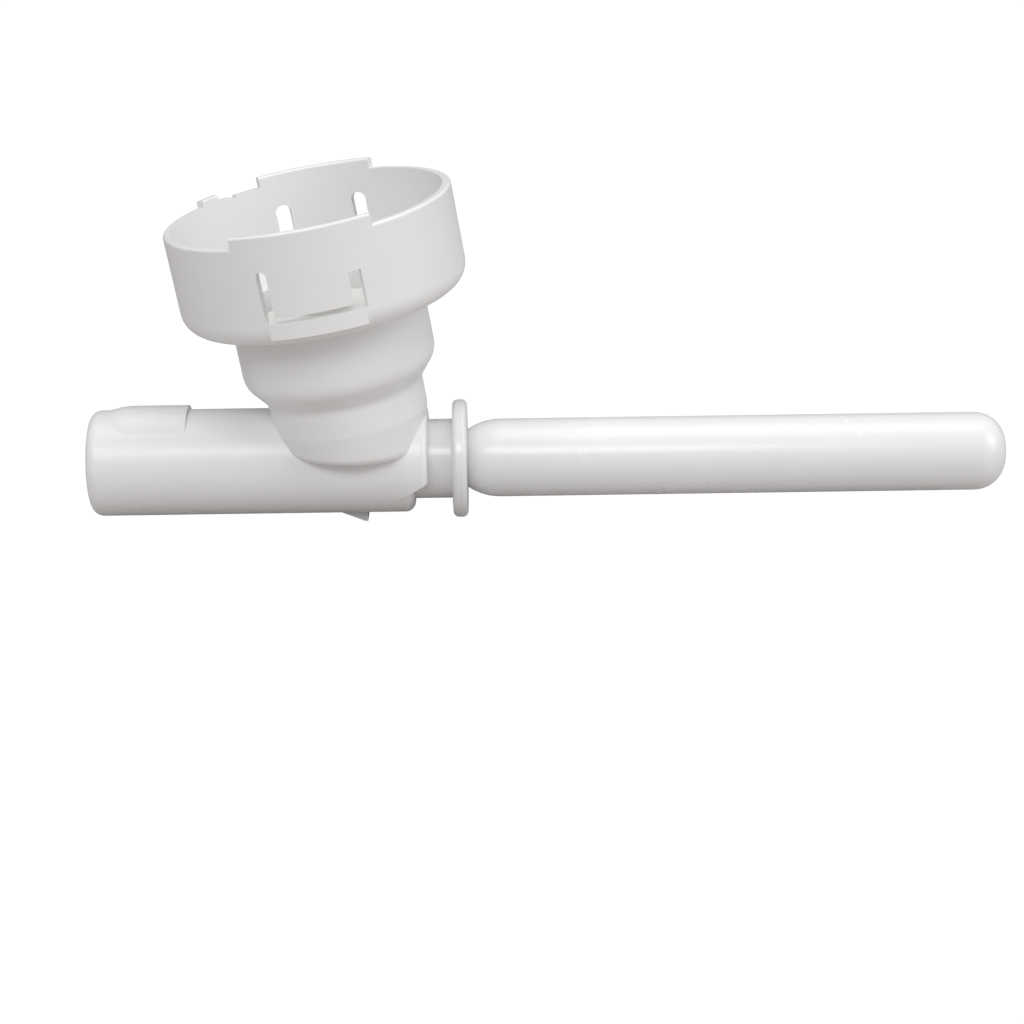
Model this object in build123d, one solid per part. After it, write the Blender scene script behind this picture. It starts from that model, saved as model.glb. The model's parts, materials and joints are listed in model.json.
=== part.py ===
from build123d import *
from math import cos, radians, sin
import os

os.makedirs("parts", exist_ok=True)

# Frame: +X runs along the main tube from the inlet mouth at X = 0 to the tip of the
# discharge tube, +Z is up, and the tube's axis is the X axis. Millimetres throughout.

# Main tube of the body
TUBE_R = 10.15
TUBE_END = 62.0
MOUTH_ROUND = 2.1
LUG_R = 8.0
LUG_TOP = 11.1
LUG_BACK = 18.9
SHOULDER_ROUND = 1.9
SOCKET_R = 7.0
SOCKET_DEPTH = 8.0
INLET_BORE_R = 6.6
INLET_BORE_END = 43.0
OUTLET_BORE_R = 7.65
OUTLET_BORE_START = 46.0
COLLAR_R = 10.5
COLLAR_END = 64.6

# Stem: its axis leaves the tube's axis at STEM_X and leans towards -X
STEM_X = 51.4
LEAN = 9.25
SEAT_BARREL_R = 14.9
CHAMBER_BARREL_R = 18.4
CHAMBER_R = 16.4
ANNULUS_R = 12.9
NOZZLE_R = 5.6
NOZZLE_BORE_R = 3.4

# Foot of the stem: a level ring on the tube that the leaning barrel tapers down to
FOOT_X = 50.5
FOOT_R = 14.1
FOOT_LOW = 3.2
FOOT_ROUND = 2.0

# Heights along the stem's axis, measured from the tube's axis
BARREL_LOW = 9.5
ANNULUS_FLOOR = 11.6
NOZZLE_TOP = 17.6
SHELF = 19.5
CUP_JOIN = 30.6
CUP_BOTTOM = 31.6
CUP_FLOOR = 33.2
RIM = 50.5
CREST = 52.5

# Cup
CUP_R = 27.05
CUP_BORE_R = 25.5
CUP_CORNER = 4.0

# Latch tongues in the cup's wall, one at the front (-Y) and one at the rear. Each tongue, its
# window and the crest above it run from one angle to another round the stem, from -Y.
FRONT_TONGUE = (-13.8, 16.8)
FRONT_WINDOW = (-17.8, 22.0)
FRONT_CREST = (-26.2, 29.8)
REAR_TONGUE = (166.6, 194.2)
REAR_WINDOW = (160.2, 200.7)
REAR_CREST = (155.4, 205.4)
KEY_LUG = (226.5, 236.0)
KEY_NOTCH = (217.5, 221.0)
WINDOW_LOW = 36.4
WINDOW_HIGH = 43.4
SLIT_HIGH = 46.1
LATCH_LOW = 37.4
ROOT_GAP = 0.01

# Outlet sleeve
SLEEVE_START = 55.0
SLEEVE_R = 7.6
SLEEVE_BORE_R = 5.65
FLANGE_START = 69.3
FLANGE_END = 72.1
FLANGE_R = 11.3
BARB_TIP = 46.8
BARB_BACK = 52.7
BARB_R = 11.8
FINGER_TOP = 6.0
FINGER_UNDER = 7.15

# Discharge tube
NECK_R = 5.6
NECK_BORE_R = 3.9
SPOUT_R = 7.5
SPOUT_WALL = 1.3
SPOUT_TIP = 175.4
DOME_ROUND = 5.8
BULB_START = 72.2
BULB_LENGTH = 6.2

# Clearances
SLIP = 0.05
PLAY = 0.08

STEM = Location((STEM_X, 0, 0), (0, -90 - LEAN, 0))


def turned(*profile):
    """Solid turned about +X from (x, radius) or (x, radius, corner rounding) points."""
    points = [(p[0], p[1]) for p in profile]
    rounding = [p[2] if len(p) > 2 else 0 for p in profile]
    outline = FilletPolyline(*points, radius=rounding, close=True)
    return revolve(make_face(outline), axis=Axis.X)


def ring(x0, x1, inner, outer):
    """Plain ring about +X."""
    return turned((x0, inner), (x0, outer), (x1, outer), (x1, inner))


def rod(x0, x1, radius):
    """Plain rod along +X."""
    return turned((x0, 0), (x0, radius), (x1, radius), (x1, 0))


def seal_ring(x, radius, thickness):
    """O-ring of the given mean radius, centred on the X axis at x."""
    return Pos(x, 0, 0) * Rotation(0, 90, 0) * Torus(radius, thickness / 2)


def sector(x0, x1, inner, outer, start, end, top_round=0.0):
    """Piece of a ring about +X, from one angle to another; 0 is at -Y, 90 at -Z."""
    corners = ((x0, -inner), (x1, -inner), (x1, -outer), (x0, -outer))
    face = make_face(FilletPolyline(*corners, radius=[0, top_round, top_round, 0], close=True))
    return Rotation(start, 0, 0) * revolve(face, axis=Axis.X, revolution_arc=end - start)


def coil(x0, x1, radius, wire, turns):
    """Compression spring along +X with both ends inside x0 and x1."""
    length = x1 - x0 - wire
    pitch = length / turns
    path = Helix(pitch, length, radius)
    section = Plane(path @ 0, z_dir=path % 0) * Circle(wire / 2)
    return Pos(x0 + wire / 2, 0, 0) * Rotation(0, 90, 0) * sweep(section, path=path)


def holes_about_x(x0, x1, count, circle, radius, first=0.0):
    """A circle of round holes along +X, as the solids to cut."""
    holes = []
    for i in range(count):
        angle = radians(first + 360 * i / count)
        centre = Pos((x0 + x1) / 2, circle * cos(angle), circle * sin(angle))
        holes.append(centre * Rotation(0, 90, 0) * Cylinder(radius, x1 - x0))
    return holes


def cut_all(solid, tools):
    for tool in tools:
        solid = solid - tool
    return solid


def up_the_stem(shape):
    """Move a shape made about +X so that its X axis runs up the stem."""
    return STEM * shape


# ---------------------------------------------------------------- valve body
# One moulding, kept as three nodes that meet face to face: main_tube, stem_barrel, head_cup.

def tube_outside():
    tube = turned((0, 0), (0, TUBE_R, MOUTH_ROUND), (TUBE_END, TUBE_R, SHOULDER_ROUND), (TUBE_END, 0))
    return tube + mouth_lug() + end_collar()


def mouth_lug():
    """Low ramped lug on top of the tube that a push-on supply coupling snaps over."""
    ramp = turned((2.0, 0), (2.0, LUG_R - 1.2), (7.0, LUG_R, 12.0), (LUG_BACK, LUG_R), (LUG_BACK, 0))
    return Pos(0, 0, LUG_TOP - LUG_R) * ramp


def end_collar():
    """Collar that swells from the tube round its outlet end, cut away obliquely below."""
    collar = turned((55.5, 0), (55.5, TUBE_R - 0.1), (60.5, COLLAR_R, 3.0), (COLLAR_END, COLLAR_R, 1.2),
                    (COLLAR_END, 0))
    below = Pos(62, 0, -3.2) * Rotation(0, -33, 0) * Pos(0, 0, -10) * Box(40, 40, 20)
    return collar - below


def barrel_outside():
    """Stepped barrel that leans over the tube on its level foot."""
    barrel = turned(
        (BARREL_LOW, 0),
        (BARREL_LOW, SEAT_BARREL_R),
        (15.0, SEAT_BARREL_R, 2.6),
        (19.4, CHAMBER_BARREL_R, 4.5),
        (CUP_JOIN, CHAMBER_BARREL_R),
        (CUP_JOIN, 0),
    )
    ring_above = STEM * Pos(BARREL_LOW, 0, 0) * Rotation(0, 90, 0) * Circle(SEAT_BARREL_R)
    ring_below = Pos(FOOT_X, 0, FOOT_LOW) * Circle(FOOT_R)
    foot = loft([ring_below, ring_above])
    foot = fillet(foot.edges().sort_by(Axis.Z)[0], FOOT_ROUND)
    return up_the_stem(barrel) + foot


def cup_outside():
    cup = turned(
        (CUP_JOIN, 0),
        (CUP_JOIN, CHAMBER_BARREL_R),
        (CUP_BOTTOM, CHAMBER_BARREL_R, 0.8),
        (CUP_BOTTOM, CUP_R, CUP_CORNER),
        (RIM, CUP_R, 0.5),
        (RIM, 0),
    )
    for start, end in (FRONT_CREST, REAR_CREST):
        cup = cup + sector(RIM - 0.6, CREST, CUP_BORE_R, CUP_R - 0.02, start, end, 0.5)
    for start, end in (FRONT_WINDOW, REAR_WINDOW):
        cup = cup + sector(33.4, WINDOW_LOW, CUP_BORE_R + 0.5, CUP_R + 0.2, start + 1, end - 1)
    return cup + sector(RIM - 0.6, 51.7, CUP_BORE_R, CUP_R - 0.04, *KEY_LUG, 0.3)


def valve_chambers():
    """Diaphragm chamber, ring chamber round the nozzle, and the nozzle's bore."""
    chamber = rod(SHELF, CUP_FLOOR + 1, CHAMBER_R)
    annulus = turned((ANNULUS_FLOOR, NOZZLE_R), (ANNULUS_FLOOR, ANNULUS_R, 1.0),
                     (SHELF + 1, ANNULUS_R), (SHELF + 1, NOZZLE_R))
    above_nozzle = rod(NOZZLE_TOP, SHELF + 1, ANNULUS_R)
    bore = rod(4, SHELF, NOZZLE_BORE_R)
    seat_pocket = rod(14.0, SHELF, 3.9)
    return [up_the_stem(hollow) for hollow in (chamber, annulus, above_nozzle, bore, seat_pocket)]


def supply_port():
    """Hole from the inlet bore up into the ring chamber."""
    return Pos(39.6, 0, 8.5) * Cylinder(2.6, 8)


def main_tube():
    socket = rod(-1, SOCKET_DEPTH, SOCKET_R)
    inlet = rod(-1, INLET_BORE_END, INLET_BORE_R)
    outlet = rod(OUTLET_BORE_START, COLLAR_END + 5, OUTLET_BORE_R)
    window = Pos((BARB_TIP + BARB_BACK) / 2 + 0.1, 0, -9) * Box(BARB_BACK - BARB_TIP + 1.0, 5.8, 5)
    return cut_all(tube_outside(), [socket, inlet, outlet, window, supply_port()] + valve_chambers())


def stem_barrel():
    return cut_all(barrel_outside() - tube_outside(), [supply_port()] + valve_chambers())


def slit(start, end):
    """Slot beside a tongue, on up past its root to a rounded end."""
    radius = CUP_R * radians(end - start) / 2
    straight = sector(WINDOW_HIGH - 1, SLIT_HIGH - radius, 24, 29, start, end)
    round_end = Pos(SLIT_HIGH - radius, -CUP_R, 0) * Rotation(90, 0, 0) * Cylinder(radius, 6)
    return straight + Rotation((start + end) / 2, 0, 0) * round_end


def head_cup():
    """Open cup for the float head, with a window round each latch tongue."""
    return up_the_stem(cut_all(cup_outside(), [
        turned((CUP_FLOOR, 0), (CUP_FLOOR, CUP_BORE_R, 1.2), (60, CUP_BORE_R), (60, 0)),
        rod(CUP_JOIN - 1, CUP_FLOOR + 1, CHAMBER_R),
        sector(50.0, CREST, 24, 29, *KEY_NOTCH),
        sector(WINDOW_LOW, WINDOW_HIGH, 24, 29, *FRONT_WINDOW),
        sector(WINDOW_LOW, WINDOW_HIGH, 24, 29, *REAR_WINDOW),
        slit(FRONT_WINDOW[0], FRONT_TONGUE[0]),
        slit(REAR_WINDOW[0], REAR_TONGUE[0]),
        slit(REAR_TONGUE[1], REAR_WINDOW[1]),
    ]))


def latch(start, end):
    """Spring tongue in the cup wall; its root is at the top and its lower edge is the catch."""
    return up_the_stem(sector(LATCH_LOW, WINDOW_HIGH - ROOT_GAP, CUP_BORE_R, CUP_R, start, end))


# ---------------------------------------------------------------- inlet side

STRAINER_START = SOCKET_DEPTH + 0.3
STRAINER_END = 19.0
REGULATOR_END = 22.4
CHECK_FACE = 25.0
CAGE_END = 35.4
CARTRIDGE_R = INLET_BORE_R - SLIP


def inlet_strainer():
    """Thimble filter: open towards the supply, with long slots all round."""
    basket_r = 5.4
    shell = turned(
        (STRAINER_START, 4.7),
        (STRAINER_START, CARTRIDGE_R, 0.3),
        (STRAINER_START + 1.6, CARTRIDGE_R, 0.3),
        (STRAINER_START + 1.6, basket_r),
        (STRAINER_END, basket_r, 0.8),
        (STRAINER_END, 0),
        (STRAINER_END - 0.8, 0),
        (STRAINER_END - 0.8, 4.7),
    )
    slots = []
    slot_start, slot_end = STRAINER_START + 2.4, STRAINER_END - 1.4
    for i in range(10):
        box = Pos((slot_start + slot_end) / 2, 0, 5) * Box(slot_end - slot_start, 1.0, 3)
        slots.append(Rotation(36 * i, 0, 0) * box)
    return cut_all(shell, slots)


def flow_regulator():
    """Holder with a star-shaped post; the rubber ring round it closes the gap as pressure rises."""
    start = STRAINER_END + 0.2
    holder = turned((start, 5.4), (start, CARTRIDGE_R, 0.2), (REGULATOR_END, CARTRIDGE_R, 0.2),
                    (REGULATOR_END, 0), (REGULATOR_END - 1.0, 0), (REGULATOR_END - 1.0, 5.4))
    post = rod(start + 0.4, REGULATOR_END - 0.5, 2.1)
    flutes = holes_about_x(start, REGULATOR_END - 1.0, 8, 2.3, 0.35)
    drains = holes_about_x(start, REGULATOR_END + 1, 8, 3.6, 0.9)
    return cut_all(holder + cut_all(post, flutes), drains)


def regulator_ring():
    return seal_ring(STRAINER_END + 1.5, 3.5, 1.6)


def check_seat():
    """Ring with the face that the check poppet closes against."""
    start = REGULATOR_END + 0.2
    return turned((start, 4.6), (start, CARTRIDGE_R, 0.2), (CHECK_FACE, CARTRIDGE_R),
                  (CHECK_FACE, 4.0, 0.3), (CHECK_FACE - 1.0, 4.0))


def check_poppet():
    """Poppet with a nose in the seat, a disc, and a stem guided by the cage."""
    disc_start = CHECK_FACE + 0.6
    return turned(
        (CHECK_FACE - 1.2, 0),
        (CHECK_FACE - 1.2, 2.9, 1.0),
        (disc_start, 2.9),
        (disc_start, 5.2, 0.2),
        (disc_start + 1.2, 5.2, 0.2),
        (disc_start + 1.2, 2.4),
        (disc_start + 2.2, 2.4, 0.3),
        (disc_start + 2.2, 1.2),
        (CAGE_END + 2.4, 1.2, 0.4),
        (CAGE_END + 2.4, 0),
    )


def check_seal():
    """Rubber washer on the poppet's face."""
    return ring(CHECK_FACE + 0.05, CHECK_FACE + 0.55, 3.0, 5.0)


def check_spring():
    return coil(CHECK_FACE + 1.85, CAGE_END - 2.05, 3.3, 0.6, 4)


def check_cage():
    """Open cage that spaces the seat and guides the poppet's stem."""
    wall = ring(CHECK_FACE + 0.05, CAGE_END, 5.8, CARTRIDGE_R)
    plate = ring(CAGE_END - 2.0, CAGE_END, 1.2 + PLAY, 6.0)
    return cut_all(wall + plate, holes_about_x(CAGE_END - 3, CAGE_END + 1, 6, 4.1, 1.25))


# ---------------------------------------------------------------- diaphragm valve

SEAT_LIP = 19.8
BEAD_TOP = 21.4
PLATE_LOW = 21.5
PLATE_TOP = 22.9
CROWN_LOW = 28.4
CROWN_TOP = 30.4
PILOT_LIP = 29.6
BOSS_TOP = 32.8
BONNET_R = CHAMBER_R - 0.1
BONNET_DOME_R = 14.0
PILOT_BORE_R = 1.5


def seat_insert():
    """Removable nozzle seat, plugged into the top of the nozzle."""
    insert = turned(
        (14.4, 2.6),
        (14.4, 3.85, 0.2),
        (NOZZLE_TOP + 0.05, 3.85),
        (NOZZLE_TOP + 0.05, 5.3, 0.3),
        (18.9, 5.3, 0.3),
        (18.9, 3.7),
        (SEAT_LIP, 3.4, 0.2),
        (SEAT_LIP, 2.6, 0.2),
    )
    groove = ring(15.4, 16.4, 3.3, 4.2)
    return up_the_stem(insert - groove)


def seat_o_ring():
    return up_the_stem(seal_ring(15.9, 3.6, 0.56))


def diaphragm():
    """Rubber diaphragm: clamped rim bead, thin rolling web and a thick centre over the seat."""
    rubber = turned(
        (SEAT_LIP + 0.08, 2.7),
        (SEAT_LIP + 0.08, 8.4, 0.3),
        (20.4, 9.0),
        (21.0, 11.4, 0.8),
        (SHELF + 0.6, 13.6),
        (SHELF + 0.08, 14.2),
        (SHELF + 0.08, 16.2, 0.4),
        (BEAD_TOP, 16.2, 0.4),
        (BEAD_TOP, 14.2),
        (21.0, 13.6),
        (21.6, 11.6, 0.8),
        (21.2, 9.0),
        (BEAD_TOP, 8.4),
        (BEAD_TOP, 2.7),
    )
    return up_the_stem(rubber)


def diaphragm_plate():
    """Stiffener on the diaphragm, with the fluted pin that centres it in the seat."""
    plate = turned(
        (16.2, 0),
        (16.2, 2.2, 0.6),
        (SEAT_LIP, 2.2),
        (PLATE_LOW, 2.2),
        (PLATE_LOW, 8.2, 0.4),
        (PLATE_TOP, 8.2, 0.4),
        (PLATE_TOP, 3.4),
        (24.6, 3.2, 0.4),
        (24.6, 0),
    )
    flutes = holes_about_x(14, SEAT_LIP, 4, 2.4, 0.7)
    return up_the_stem(cut_all(plate, flutes))


def return_spring():
    return up_the_stem(coil(PLATE_TOP + 0.05, CROWN_LOW - 0.05, 4.5, 0.7, 3.5))


def bonnet():
    """Pressure cap over the diaphragm, with the pilot orifice in the middle of its crown."""
    shell = turned(
        (PLATE_LOW, 12.8),
        (PLATE_LOW, BONNET_R, 0.2),
        (24.0, BONNET_R, 0.2),
        (24.0, BONNET_DOME_R),
        (CROWN_TOP, BONNET_DOME_R, 1.5),
        (CROWN_TOP, 4.6, 0.5),
        (BOSS_TOP, 4.6, 0.5),
        (BOSS_TOP, PILOT_BORE_R),
        (PILOT_LIP, PILOT_BORE_R),
        (PILOT_LIP, 0.5),
        (CROWN_LOW, 0.5),
        (CROWN_LOW, 12.8, 1.0),
    )
    groove = ring(22.2, 23.3, BONNET_R - 0.9, BONNET_R + 1)
    cross_vent = Pos(31.5, 0, 0) * Cylinder(0.7, 12)
    return up_the_stem(shell - groove - cross_vent)


def bonnet_o_ring():
    return up_the_stem(seal_ring(22.75, BONNET_R - 0.38, 0.9))


def bonnet_ring():
    """Ring that holds the bonnet down, with four spanner notches."""
    clamp = turned((24.1, BONNET_DOME_R + 0.15), (24.1, BONNET_R, 0.2), (28.2, BONNET_R, 0.4),
                   (28.2, BONNET_DOME_R + 0.15, 0.2))
    notches = []
    for i in range(4):
        notches.append(Rotation(45 + 90 * i, 0, 0) * Pos(27.6, 0, 15.5) * Box(2.4, 3.4, 5))
    return up_the_stem(cut_all(clamp, notches))


def pilot_pin():
    """Pin that the float head's lever lifts off the pilot orifice."""
    pin_r = PILOT_BORE_R - PLAY
    head, top = BOSS_TOP + 0.2, CUP_FLOOR + 1.0
    return up_the_stem(turned((30.5, 0), (30.5, pin_r), (head, pin_r), (head, 2.6, 0.3), (top, 2.6, 0.4),
                              (top, 0)))


def pilot_seal():
    return up_the_stem(turned((PILOT_LIP + 0.05, 0), (PILOT_LIP + 0.05, 1.3, 0.2), (30.45, 1.3), (30.45, 0)))


# ---------------------------------------------------------------- outlet side

SLEEVE_GROOVE = 59.6
NECK_GROOVE = 66.9
CLIP_START = 57.05
CLIP_END = 57.65


def outlet_sleeve():
    """Flanged sleeve, held in the tube by the barbed finger under its inner end."""
    sleeve = turned(
        (SLEEVE_START, 6.4),
        (SLEEVE_START, SLEEVE_R, 0.4),
        (FLANGE_START, SLEEVE_R, 0.3),
        (FLANGE_START, FLANGE_R, 1.0),
        (FLANGE_END, FLANGE_R, 1.0),
        (FLANGE_END, SLEEVE_BORE_R, 0.2),
        (CLIP_END + 0.1, SLEEVE_BORE_R),
        (CLIP_END + 0.1, 6.4),
    )
    groove = ring(SLEEVE_GROOVE - 0.7, SLEEVE_GROOVE + 0.7, SLEEVE_R - 1.0, SLEEVE_R + 1)
    return sleeve - groove + barbed_finger()


def barbed_finger():
    side = Polyline(
        (SLEEVE_START + 1.5, -FINGER_TOP),
        (SLEEVE_START + 1.5, -FINGER_UNDER),
        (BARB_BACK, -FINGER_UNDER),
        (BARB_BACK, -BARB_R),
        (BARB_BACK - 0.5, -BARB_R),
        (BARB_TIP, -9.6),
        (BARB_TIP, -FINGER_TOP),
        close=True,
    )
    return extrude(Plane.XZ * make_face(side), amount=2.4, both=True)


def sleeve_o_ring():
    return seal_ring(SLEEVE_GROOVE, SLEEVE_R - 0.47, 0.98)


def shoulder_radius():
    """Radius of the arc that swells from the neck to the full tube in BULB_LENGTH."""
    rise = SPOUT_R - NECK_R
    return (BULB_LENGTH ** 2 + rise ** 2) / (2 * rise)


def discharge_tube():
    """Blown tube: plain neck, swelling shoulder, straight run and a closed domed tip."""
    wall_r = SPOUT_R - SPOUT_WALL
    bulb_end = BULB_START + BULB_LENGTH
    swell = shoulder_radius()
    outer = [
        Line((56.2, NECK_BORE_R), (56.2, NECK_R)),
        Line((56.2, NECK_R), (BULB_START, NECK_R)),
        RadiusArc((BULB_START, NECK_R), (bulb_end, SPOUT_R), swell),
        Line((bulb_end, SPOUT_R), (SPOUT_TIP - DOME_ROUND, SPOUT_R)),
        RadiusArc((SPOUT_TIP - DOME_ROUND, SPOUT_R), (SPOUT_TIP, SPOUT_R - DOME_ROUND), DOME_ROUND),
        Line((SPOUT_TIP, SPOUT_R - DOME_ROUND), (SPOUT_TIP, 0)),
        Line((SPOUT_TIP, 0), (SPOUT_TIP - SPOUT_WALL, 0)),
    ]
    inner = FilletPolyline(
        (SPOUT_TIP - SPOUT_WALL, 0),
        (SPOUT_TIP - SPOUT_WALL, wall_r),
        (bulb_end, wall_r),
        (BULB_START + 0.8, NECK_BORE_R),
        (56.2, NECK_BORE_R),
        radius=[DOME_ROUND - SPOUT_WALL, 3.0, 1.0],
    )
    tube = revolve(make_face(Wire(outer + list(inner.edges()))), axis=Axis.X)
    clip_groove = ring(CLIP_START - SLIP, CLIP_END + SLIP, 4.9, NECK_R + 1)
    seal_groove = ring(NECK_GROOVE - 0.7, NECK_GROOVE + 0.7, 4.6, NECK_R + 1)
    return cut_all(tube - clip_groove - seal_groove, outlet_slots())


def outlet_slots():
    """Row of outlet slots along the underside, near the tip."""
    slots = []
    for i in range(6):
        centre = 132 + 6.5 * i
        slot = Pos(centre, 0, -SPOUT_R) * (Box(2.4, 2.0, 4) + Pos(-1.2, 0, 0) * Cylinder(1.0, 4)
                                           + Pos(1.2, 0, 0) * Cylinder(1.0, 4))
        slots.append(slot)
    return slots


def tube_o_ring():
    return seal_ring(NECK_GROOVE, 5.12, 1.0)


def tube_clip():
    """Open spring clip in the neck's groove; it turns with the tube behind the sleeve's step."""
    clip = ring(CLIP_START, CLIP_END, 4.95, 6.2)
    gap = Pos(CLIP_START, 0, 5.6) * Box(4, 2.2, 3)
    return clip - gap


def flow_straightener():
    """Cross of thin vanes in a ring, inside the neck."""
    start, end = 60.0, 68.0
    vane_r = NECK_BORE_R - SLIP
    body = ring(start, start + 1.5, 3.2, vane_r)
    middle = (start + end) / 2
    for angle in (0, 60, 120):
        body = body + Rotation(angle, 0, 0) * Pos(middle, 0, 0) * Box(end - start, 2 * vane_r - 0.1, 0.6)
    return body


PARTS = {
    "main_tube": main_tube(),
    "stem_barrel": stem_barrel(),
    "head_cup": head_cup(),
    "front_latch": latch(*FRONT_TONGUE),
    "rear_latch": latch(*REAR_TONGUE),
    "inlet_strainer": inlet_strainer(),
    "flow_regulator": flow_regulator(),
    "regulator_ring": regulator_ring(),
    "check_seat": check_seat(),
    "check_poppet": check_poppet(),
    "check_seal": check_seal(),
    "check_spring": check_spring(),
    "check_cage": check_cage(),
    "seat_insert": seat_insert(),
    "seat_o_ring": seat_o_ring(),
    "diaphragm": diaphragm(),
    "diaphragm_plate": diaphragm_plate(),
    "return_spring": return_spring(),
    "bonnet": bonnet(),
    "bonnet_o_ring": bonnet_o_ring(),
    "bonnet_ring": bonnet_ring(),
    "pilot_pin": pilot_pin(),
    "pilot_seal": pilot_seal(),
    "outlet_sleeve": outlet_sleeve(),
    "sleeve_o_ring": sleeve_o_ring(),
    "discharge_tube": discharge_tube(),
    "tube_o_ring": tube_o_ring(),
    "tube_clip": tube_clip(),
    "flow_straightener": flow_straightener(),
}

for name, shape in PARTS.items():
    export_step(shape, f"parts/{name}.step")
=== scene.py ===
"""Toilet fill valve: finishes, floor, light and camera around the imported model. Metres."""
import json
from math import cos, radians, sin

import bpy
from mathutils import Matrix, Vector


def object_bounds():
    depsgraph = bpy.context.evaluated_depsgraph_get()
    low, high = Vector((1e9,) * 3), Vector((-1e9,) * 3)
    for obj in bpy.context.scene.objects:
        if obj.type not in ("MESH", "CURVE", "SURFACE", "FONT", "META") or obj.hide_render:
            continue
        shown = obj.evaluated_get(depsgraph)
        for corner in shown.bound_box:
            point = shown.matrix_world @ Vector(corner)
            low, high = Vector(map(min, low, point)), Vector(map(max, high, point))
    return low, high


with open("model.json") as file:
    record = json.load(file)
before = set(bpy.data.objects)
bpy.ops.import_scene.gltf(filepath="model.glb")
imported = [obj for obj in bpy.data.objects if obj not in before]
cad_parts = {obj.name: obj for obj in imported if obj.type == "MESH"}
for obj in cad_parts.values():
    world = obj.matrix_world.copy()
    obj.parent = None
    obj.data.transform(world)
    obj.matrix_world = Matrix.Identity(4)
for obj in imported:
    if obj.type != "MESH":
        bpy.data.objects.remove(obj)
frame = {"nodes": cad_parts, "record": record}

CAD_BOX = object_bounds()
NODES = frame["nodes"]


# ---------------------------------------------------------------- node helpers

class Look:
    """A Principled material under construction, with short calls for its node network."""

    def __init__(self, name, **values):
        self.material = bpy.data.materials.new(name)
        self.material.use_nodes = True
        self.tree = self.material.node_tree
        self.shader = self.tree.nodes["Principled BSDF"]
        self.place = self.node("ShaderNodeTexCoord").outputs["Object"]
        for socket, value in values.items():
            self.shader.inputs[socket.replace("_", " ")].default_value = value

    def node(self, kind, **settings):
        made = self.tree.nodes.new(kind)
        for key, value in settings.items():
            setattr(made, key, value)
        return made

    def link(self, source, target):
        self.tree.links.new(source, target)

    def noise(self, scale, detail=2.0, roughness=0.5, stretch=None):
        """Noise on the object's own coordinates; stretch scales X, Y and Z apart."""
        made = self.node("ShaderNodeTexNoise")
        made.inputs["Scale"].default_value = scale
        made.inputs["Detail"].default_value = detail
        made.inputs["Roughness"].default_value = roughness
        source = self.place
        if stretch:
            mapping = self.node("ShaderNodeMapping")
            mapping.inputs["Scale"].default_value = stretch
            self.link(self.place, mapping.inputs["Vector"])
            source = mapping.outputs["Vector"]
        self.link(source, made.inputs["Vector"])
        return made.outputs["Fac"]

    def span(self, source, low, high, start=0.3, end=0.7):
        """A number that goes from low to high as source goes from start to end."""
        made = self.node("ShaderNodeMapRange")
        made.inputs["From Min"].default_value = start
        made.inputs["From Max"].default_value = end
        made.inputs["To Min"].default_value = low
        made.inputs["To Max"].default_value = high
        self.link(source, made.inputs["Value"])
        return made.outputs["Result"]

    def ramp(self, source, *stops):
        """A colour ramp between two stops, each given as (position, colour)."""
        made = self.node("ShaderNodeValToRGB")
        for element, (position, colour) in zip(made.color_ramp.elements, stops):
            element.position = position
            element.color = (*colour, 1.0)
        self.link(source, made.inputs["Fac"])
        return made.outputs["Color"]

    def bump(self, source, height):
        """Bump of the given height in metres, chained after any earlier bump."""
        made = self.node("ShaderNodeBump")
        made.inputs["Distance"].default_value = height
        self.link(source, made.inputs["Height"])
        normal = self.shader.inputs["Normal"]
        if normal.is_linked:
            self.link(normal.links[0].from_socket, made.inputs["Normal"])
        self.link(made.outputs["Normal"], normal)

    def drive(self, socket, source):
        self.link(source, self.shader.inputs[socket])


def moulded_plastic(name, pale, dull, rough, glow, coat=0.0):
    """Milky injection-moulded plastic: cloudy colour, soft orange-peel skin, faint flow lines."""
    look = Look(name, Subsurface_Weight=glow, Subsurface_Scale=0.0035, IOR=1.49,
                Coat_Weight=coat, Coat_Roughness=0.12)
    look.shader.inputs["Subsurface Radius"].default_value = (1.0, 0.86, 0.8)
    clouds = look.noise(45.0, detail=3.0)
    look.drive("Base Color", look.ramp(clouds, (0.3, dull), (0.7, pale)))
    patches = look.noise(120.0, detail=4.0, roughness=0.6)
    look.drive("Roughness", look.span(patches, rough - 0.05, rough + 0.07))
    look.bump(look.noise(900.0, detail=2.0), 0.00002)
    look.bump(look.noise(60.0, detail=1.0, stretch=(0.5, 1.0, 1.0)), 0.00006)
    return look.material


def blown_plastic(name):
    """Glossy blown polyethylene: whiter, with faint long draw lines."""
    look = Look(name, Subsurface_Weight=0.35, Subsurface_Scale=0.003, IOR=1.51,
                Coat_Weight=0.12, Coat_Roughness=0.1)
    look.shader.inputs["Subsurface Radius"].default_value = (1.0, 0.95, 0.92)
    clouds = look.noise(30.0, detail=2.0)
    look.drive("Base Color", look.ramp(clouds, (0.3, (0.795, 0.793, 0.793)), (0.7, (0.83, 0.828, 0.826))))
    look.drive("Roughness", look.span(look.noise(90.0, detail=3.0), 0.24, 0.28))
    look.bump(look.noise(160.0, detail=2.0, stretch=(0.04, 1.0, 1.0)), 0.000004)
    return look.material


def seal_rubber(name, tone):
    """Moulded EPDM: near black, matt, with a fine pebbled skin."""
    look = Look(name, IOR=1.5)
    dusty = tuple(1.7 * channel for channel in tone)
    dust = look.noise(300.0, detail=4.0)
    look.drive("Base Color", look.ramp(dust, (0.35, tone), (0.75, dusty)))
    look.drive("Roughness", look.span(look.noise(150.0), 0.55, 0.75))
    look.bump(look.noise(2500.0, detail=2.0), 0.00002)
    return look.material


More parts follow.
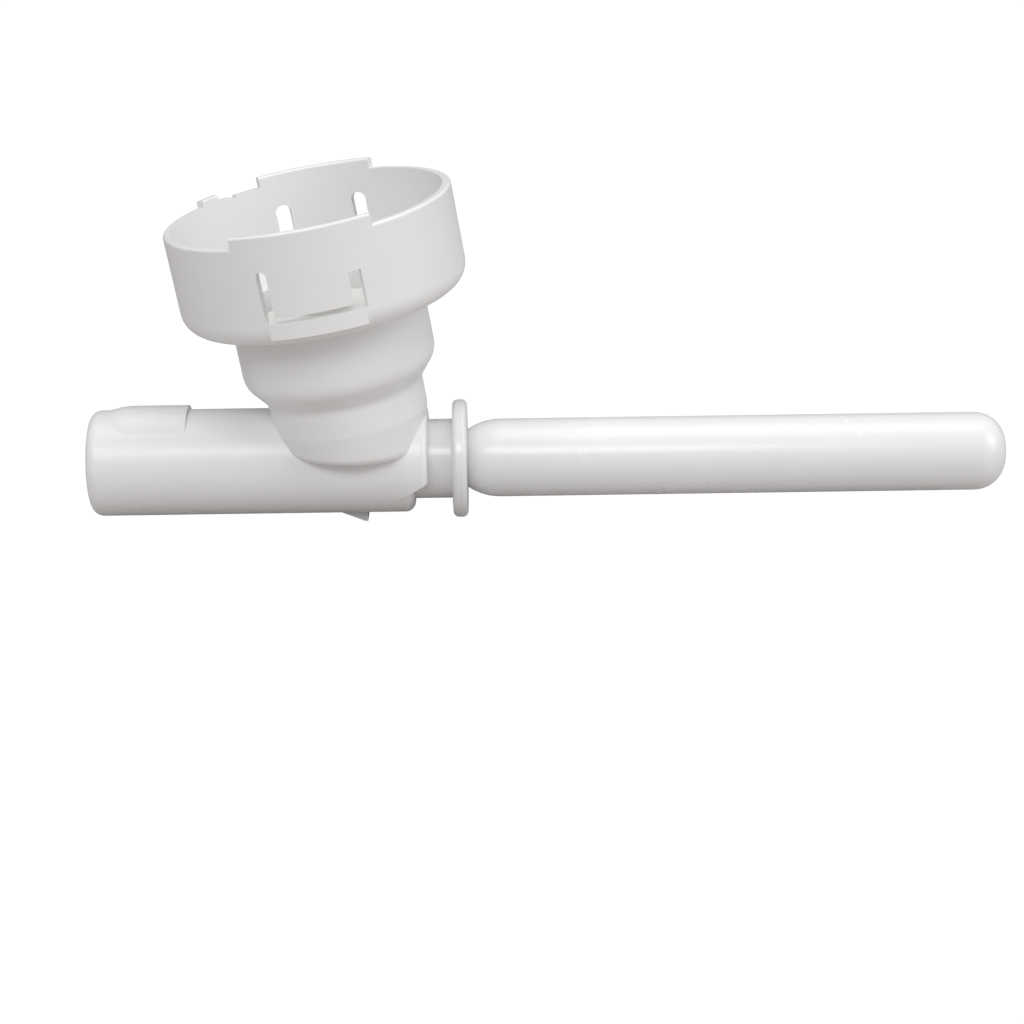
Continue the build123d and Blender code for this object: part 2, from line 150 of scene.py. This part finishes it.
def spring_steel(name):
    """Drawn stainless wire with fine lengthwise scratches."""
    look = Look(name, Metallic=1.0)
    stains = look.noise(400.0)
    look.drive("Base Color", look.ramp(stains, (0.3, (0.5, 0.5, 0.51)), (0.7, (0.68, 0.67, 0.66))))
    look.drive("Roughness", look.span(look.noise(900.0, detail=3.0), 0.22, 0.4))
    look.bump(look.noise(3000.0, stretch=(1.0, 0.2, 1.0)), 0.00001)
    return look.material


def finish_nodes():
    """Give every CAD node the finish of its material slot."""
    body = moulded_plastic("body_plastic", (0.82, 0.818, 0.814), (0.79, 0.786, 0.781), 0.34, 0.0, 0.12)
    sleeve = moulded_plastic("sleeve_plastic", (0.775, 0.773, 0.77), (0.745, 0.742, 0.738), 0.26, 0.0, 0.35)
    inner = moulded_plastic("inner_plastic", (0.74, 0.75, 0.75), (0.70, 0.71, 0.71), 0.4, 0.2)
    mesh_blue = moulded_plastic("filter_plastic", (0.6, 0.68, 0.78), (0.55, 0.63, 0.74), 0.42, 0.1)
    cream = moulded_plastic("bonnet_plastic", (0.76, 0.755, 0.74), (0.72, 0.715, 0.7), 0.4, 0.2)
    looks = {
        "body_plastic": body,
        "latch_plastic": body,
        "sleeve_plastic": sleeve,
        "spout_plastic": blown_plastic("spout_plastic"),
        "inner_plastic": inner,
        "filter_plastic": mesh_blue,
        "bonnet_plastic": cream,
        "seal_rubber": seal_rubber("seal_rubber", (0.02, 0.02, 0.021)),
        "diaphragm_rubber": seal_rubber("diaphragm_rubber", (0.05, 0.048, 0.047)),
        "spring_steel": spring_steel("spring_steel"),
        "pin_plastic": moulded_plastic("pin_plastic", (0.75, 0.73, 0.68), (0.7, 0.68, 0.63), 0.35, 0.2),
    }
    for part in frame["record"]["subparts"]:
        mesh = NODES[part["node"]].data
        mesh.materials.clear()
        mesh.materials.append(looks[part["material_slot"]])


# ---------------------------------------------------------------- stage

WHITE = (1.0, 1.0, 1.0, 1.0)
FLOOR_TONE = (0.475, 0.455, 0.447, 1.0)
FLOOR_GAP = 0.0004
FLOOR_GLOW = 1.13
SHADOW_SHARE = 0.12
SKY_LIGHT = 0.46
LIT_POINT = Vector((0.08, 0.0, 0.02))


def seen_white(tree, lit, white, strength):
    """Mix a surface or sky that lights the object with the plain white that the camera sees."""
    path = tree.nodes.new("ShaderNodeLightPath")
    mix = tree.nodes.new("ShaderNodeMixShader")
    white.inputs["Color"].default_value = WHITE
    white.inputs["Strength"].default_value = strength
    tree.links.new(path.outputs["Is Camera Ray"], mix.inputs["Fac"])
    tree.links.new(lit, mix.inputs[1])
    tree.links.new(white.outputs[0], mix.inputs[2])
    return mix.outputs[0]


def floor_finish():
    """Pale floor: white to the camera, with a faint shadow, and greyer to the light it sends back up."""
    material = bpy.data.materials.new("floor_white")
    material.use_nodes = True
    tree = material.node_tree
    shader = tree.nodes["Principled BSDF"]
    shader.inputs["Base Color"].default_value = FLOOR_TONE
    shader.inputs["Roughness"].default_value = 0.9
    shader.inputs["Specular IOR Level"].default_value = 0.1
    glow = tree.nodes.new("ShaderNodeEmission")
    seen = seen_white(tree, shader.outputs[0], glow, FLOOR_GLOW)
    both = tree.nodes.new("ShaderNodeMixShader")
    both.inputs["Fac"].default_value = SHADOW_SHARE
    tree.links.new(seen, both.inputs[1])
    tree.links.new(shader.outputs[0], both.inputs[2])
    tree.links.new(both.outputs[0], tree.nodes["Material Output"].inputs["Surface"])
    return material


def make_floor(height):
    """Plain pale floor that curves up far behind the object."""
    half, run, rise, steps = 3.0, 2.2, 2.4, 24
    profile = [(-half, 0.0), (run, 0.0)]
    for i in range(1, steps + 1):
        angle = radians(90 * i / steps)
        profile.append((run + sin(angle), 1.0 - cos(angle)))
    profile.append((run + 1.0, rise))
    vertices = []
    for y, z in profile:
        vertices += [(-half, y, height + z), (half, y, height + z)]
    faces = [(2 * i, 2 * i + 1, 2 * i + 3, 2 * i + 2) for i in range(len(profile) - 1)]
    mesh = bpy.data.meshes.new("floor")
    mesh.from_pydata(vertices, [], faces)
    mesh.materials.append(floor_finish())
    for polygon in mesh.polygons:
        polygon.use_smooth = True
    floor = bpy.data.objects.new("floor", mesh)
    bpy.context.scene.collection.objects.link(floor)


def soft_light(name, place, size, power):
    """Rectangular soft box aimed at the middle of the object."""
    lamp = bpy.data.lights.new(name, "AREA")
    lamp.shape = "RECTANGLE"
    lamp.size, lamp.size_y = size
    lamp.energy = power
    holder = bpy.data.objects.new(name, lamp)
    holder.location = place
    holder.rotation_euler = (LIT_POINT - Vector(place)).to_track_quat("-Z", "Y").to_euler()
    bpy.context.scene.collection.objects.link(holder)


def make_lights():
    """Soft boxes overhead, in front and at the outlet's side."""
    soft_light("overhead", (0.08, 0.05, 0.75), (0.9, 0.5), 2.5)
    soft_light("front", (-0.1, -0.7, 0.62), (0.7, 0.3), 3.0)
    soft_light("side", (0.75, -0.25, 0.4), (0.4, 0.5), 1.9)


def make_sky():
    """Even sky light, which the camera sees as plain white; colours are shown as they are."""
    world = bpy.data.worlds.new("studio")
    world.use_nodes = True
    tree = world.node_tree
    sky = tree.nodes["Background"]
    sky.inputs["Color"].default_value = WHITE
    sky.inputs["Strength"].default_value = SKY_LIGHT
    seen = seen_white(tree, sky.outputs[0], tree.nodes.new("ShaderNodeBackground"), 1.0)
    tree.links.new(seen, tree.nodes["World Output"].inputs["Surface"])
    bpy.context.scene.world = world
    bpy.context.scene.view_settings.view_transform = "Standard"


# ---------------------------------------------------------------- camera

CAMERA_PLACE = Vector((0.0789, -0.4180, 0.1490))
CAMERA_TILT = 20.98
CAMERA_TURN = -0.22
CAMERA_ROLL = 0.74
CAMERA_LENS = 81.0
SENSOR_WIDTH = 36.0


def make_camera():
    """Camera looking along +Y and down, at the photograph's angle, with its slight roll."""
    tilt, turn, roll = radians(CAMERA_TILT), radians(CAMERA_TURN), radians(CAMERA_ROLL)
    ahead = Vector((-sin(turn) * cos(tilt), cos(turn) * cos(tilt), -sin(tilt)))
    right = Vector((cos(turn), sin(turn), 0.0))
    above = right.cross(ahead)
    rolled_right = right * cos(roll) - above * sin(roll)
    rolled_above = right * sin(roll) + above * cos(roll)
    axes = Matrix((rolled_right, rolled_above, -ahead)).transposed().to_4x4()
    data = bpy.data.cameras.new("camera")
    data.lens = CAMERA_LENS
    data.sensor_width = SENSOR_WIDTH
    camera = bpy.data.objects.new("camera", data)
    camera.matrix_world = Matrix.Translation(CAMERA_PLACE) @ axes
    bpy.context.scene.collection.objects.link(camera)
    bpy.context.scene.camera = camera


make_camera()
make_floor(CAD_BOX[0][2] - FLOOR_GAP)
make_lights()
make_sky()
finish_nodes()
